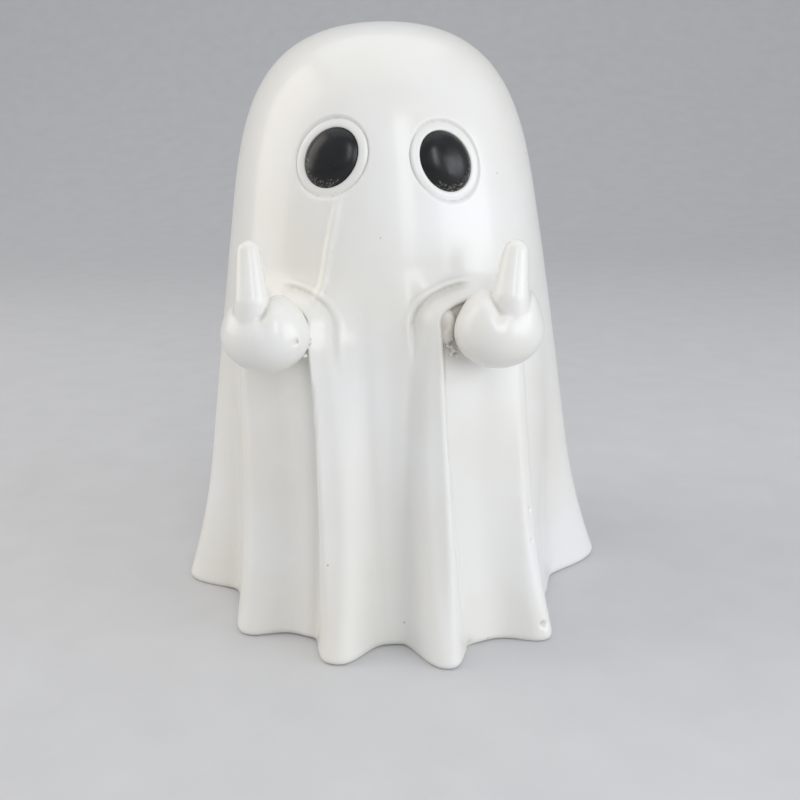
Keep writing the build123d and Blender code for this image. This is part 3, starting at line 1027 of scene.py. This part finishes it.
# The skin of the glaze: shallow waves some millimetres long.
skin = add_node(glaze, "ShaderNodeTexNoise", {"Vector": place, "Scale": per_mm(3.2), "Detail": 2.0})
bump = add_node(glaze, "ShaderNodeBump", {
    "Height": skin.outputs["Fac"], "Strength": 0.12, "Distance": 0.12 * MM,
})
glaze.node_tree.links.new(bump.outputs["Normal"], shader.inputs["Normal"])
print("glaze", len(glaze.node_tree.nodes), "nodes")

# %% [markdown]
# ### Black resin
# The eyes are moulded resin: almost black, glossy, dulled by handling, with dust caught at the edge.

# %% Black resin
resin, shader, place = new_material("black_resin", {"IOR": 1.46})
wear = add_node(resin, "ShaderNodeTexNoise", {"Vector": place, "Scale": per_mm(2.6), "Detail": 5.0})
dulled = add_node(resin, "ShaderNodeMapRange", {
    "Value": wear.outputs["Fac"], "From Min": 0.35, "From Max": 0.7, "To Min": 0.2, "To Max": 0.36,
})
resin.node_tree.links.new(dulled.outputs["Result"], shader.inputs["Roughness"])
dust = add_node(resin, "ShaderNodeTexNoise", {"Vector": place, "Scale": per_mm(0.4), "Detail": 3.0})
settled = add_node(resin, "ShaderNodeAttribute", attribute_name="settled")
caught = add_node(resin, "ShaderNodeMath", {
    0: dust.outputs["Fac"], 1: settled.outputs["Fac"],
}, operation="MULTIPLY")
dusty = add_node(resin, "ShaderNodeValToRGB", {"Fac": caught.outputs["Value"]})
set_ramp(dusty, (0.5, "#0f0f10"), (0.64, "#6d6a64"))
resin.node_tree.links.new(dusty.outputs["Color"], shader.inputs["Base Color"])
print("resin", len(resin.node_tree.nodes), "nodes")

# %% [markdown]
# ### Cured glue
# White glue gone hard: satin, a little yellowed, rough where it was dabbed on.

# %% Cured glue
cured, shader, place = new_material("cured_glue", {"Roughness": 0.42, "IOR": 1.48})
dabs = add_node(cured, "ShaderNodeTexNoise", {"Vector": place, "Scale": per_mm(1.6), "Detail": 4.0})
yellowed = add_node(cured, "ShaderNodeValToRGB", {"Fac": dabs.outputs["Fac"]})
set_ramp(yellowed, (0.35, "#dcd7cb"), (0.65, "#efede6"))
cured.node_tree.links.new(yellowed.outputs["Color"], shader.inputs["Base Color"])
rough = add_node(cured, "ShaderNodeBump", {
    "Height": dabs.outputs["Fac"], "Strength": 0.5, "Distance": 0.3 * MM,
})
cured.node_tree.links.new(rough.outputs["Normal"], shader.inputs["Normal"])
print("glue", len(cured.node_tree.nodes), "nodes")

# %% [markdown]
# ## Giving each piece its finish and its place
# A piece takes over from the frame's node that it stands for. The discs of glue under the eyes are hidden,
# so the frame's own solids stay and only get their finish.

# %% Finishes and places
def finish_piece(piece, material, node):
    """Give a piece its finish, and its place in the frame."""
    piece.data.materials.clear()
    piece.data.materials.append(material)
    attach(piece, "root")
    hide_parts(node)


finish_piece(body, glaze, "body_shell")
for name in SIDES:
    finish_piece(rims[name], glaze, name + "_eye_rim")
    finish_piece(eyes[name], resin, name + "_eye")
    finish_piece(hands[name], glaze, name + "_hand")
    finish_piece(glues[name], cured, name + "_hand_glue")
    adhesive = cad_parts[name + "_eye_adhesive"]
    adhesive.data.materials.clear()
    adhesive.data.materials.append(cured)
print("pieces placed:", 1 + sum(len(pair) for pair in (rims, eyes, hands, glues)))

# %% [markdown]
# ## Floor and light
# The figure stands on pale paper that sweeps up behind it, so that no horizon shows. A plane with a bent back
# edge would do; here a grid's rows are laid along the floor, round a quarter turn and up.

# %% Paper sweep
FLOOR_HALF = 2600.0
SWEEP_START = 500.0
SWEEP_RADIUS = 700.0
SWEEP_STEPS = 96

bpy.ops.object.select_all(action="DESELECT")
bpy.ops.mesh.primitive_grid_add(x_subdivisions=4, y_subdivisions=SWEEP_STEPS, size=2 * FLOOR_HALF * MM)
floor = bpy.context.object
floor.name = "floor"
flat = points_of(floor)
run = np.clip(flat[:, 1] - SWEEP_START, 0, None)
turn = np.clip(run / SWEEP_RADIUS, 0, math.pi / 2)
rise = SWEEP_RADIUS * (1 - np.cos(turn)) + np.clip(run - SWEEP_RADIUS * math.pi / 2, 0, None)
back = np.minimum(flat[:, 1], SWEEP_START) + SWEEP_RADIUS * np.sin(turn)
move_points(floor, np.column_stack([flat[:, 0], back, rise]))
bpy.ops.object.shade_smooth()
paper, shader, place = new_material("pale_paper", {"Roughness": 0.75})
fibres = add_node(paper, "ShaderNodeTexNoise", {"Vector": place, "Scale": per_mm(14), "Detail": 4.0})
mottled = add_node(paper, "ShaderNodeValToRGB", {"Fac": fibres.outputs["Fac"]})
set_ramp(mottled, (0.3, "#cccccd"), (0.7, "#d0d0d1"))
paper.node_tree.links.new(mottled.outputs["Color"], shader.inputs["Base Color"])
floor.data.materials.append(paper)
print("paper rises to", round(float(rise.max())), "mm")

# %% [markdown]
# Large soft lamps stand right, left and above, cool from the right and warm from the left, as daylight and
# room light fall on a shelf, and a narrow strip in front draws the upright highlight on the brow. Small
# lamps would leave hard spots on the glaze. An even pale world fills the folds. The level is set so that the
# white glaze stays just below pure white.

# %% Light and view: lamps in millimetres and watts
WORLD_COLOUR = "#e8ebf0"
WORLD_STRENGTH = 0.7

scene = bpy.context.scene
scene.view_settings.view_transform = "Standard"
scene.world = bpy.data.worlds.new("studio")
scene.world.use_nodes = True
background = scene.world.node_tree.nodes["Background"]
background.inputs["Color"].default_value = linear(WORLD_COLOUR)
background.inputs["Strength"].default_value = WORLD_STRENGTH


def softbox(name, spot, aim, size, watts, colour):
    """A rectangular lamp at a spot, turned to an aim."""
    lamp = bpy.data.lights.new(name, "AREA")
    lamp.shape = "RECTANGLE"
    lamp.size = size[0] * MM
    lamp.size_y = size[1] * MM
    lamp.energy = watts
    lamp.color = linear(colour)[:3]
    stand = bpy.data.objects.new(name, lamp)
    bpy.context.collection.objects.link(stand)
    stand.location = Vector(spot) * MM
    stand.rotation_euler = (Vector(spot) - Vector(aim)).to_track_quat("Z", "Y").to_euler()


softbox("right_softbox", spot=(500, -290, 180), aim=(0, 0, 30), size=(440, 300), watts=1.2, colour="#f4f8ff")
softbox("left_softbox", spot=(-640, 40, 390), aim=(0, 0, 25), size=(480, 700), watts=1.8, colour="#fff6e8")
softbox("top_softbox", spot=(0, 30, 560), aim=(0, 0, 100), size=(560, 560), watts=0.55, colour="#ffffff")
softbox("front_strip", spot=(150, -520, 330), aim=(0, 0, 97), size=(110, 320), watts=0.5, colour="#ffffff")
print("lamps", len(bpy.data.lights))
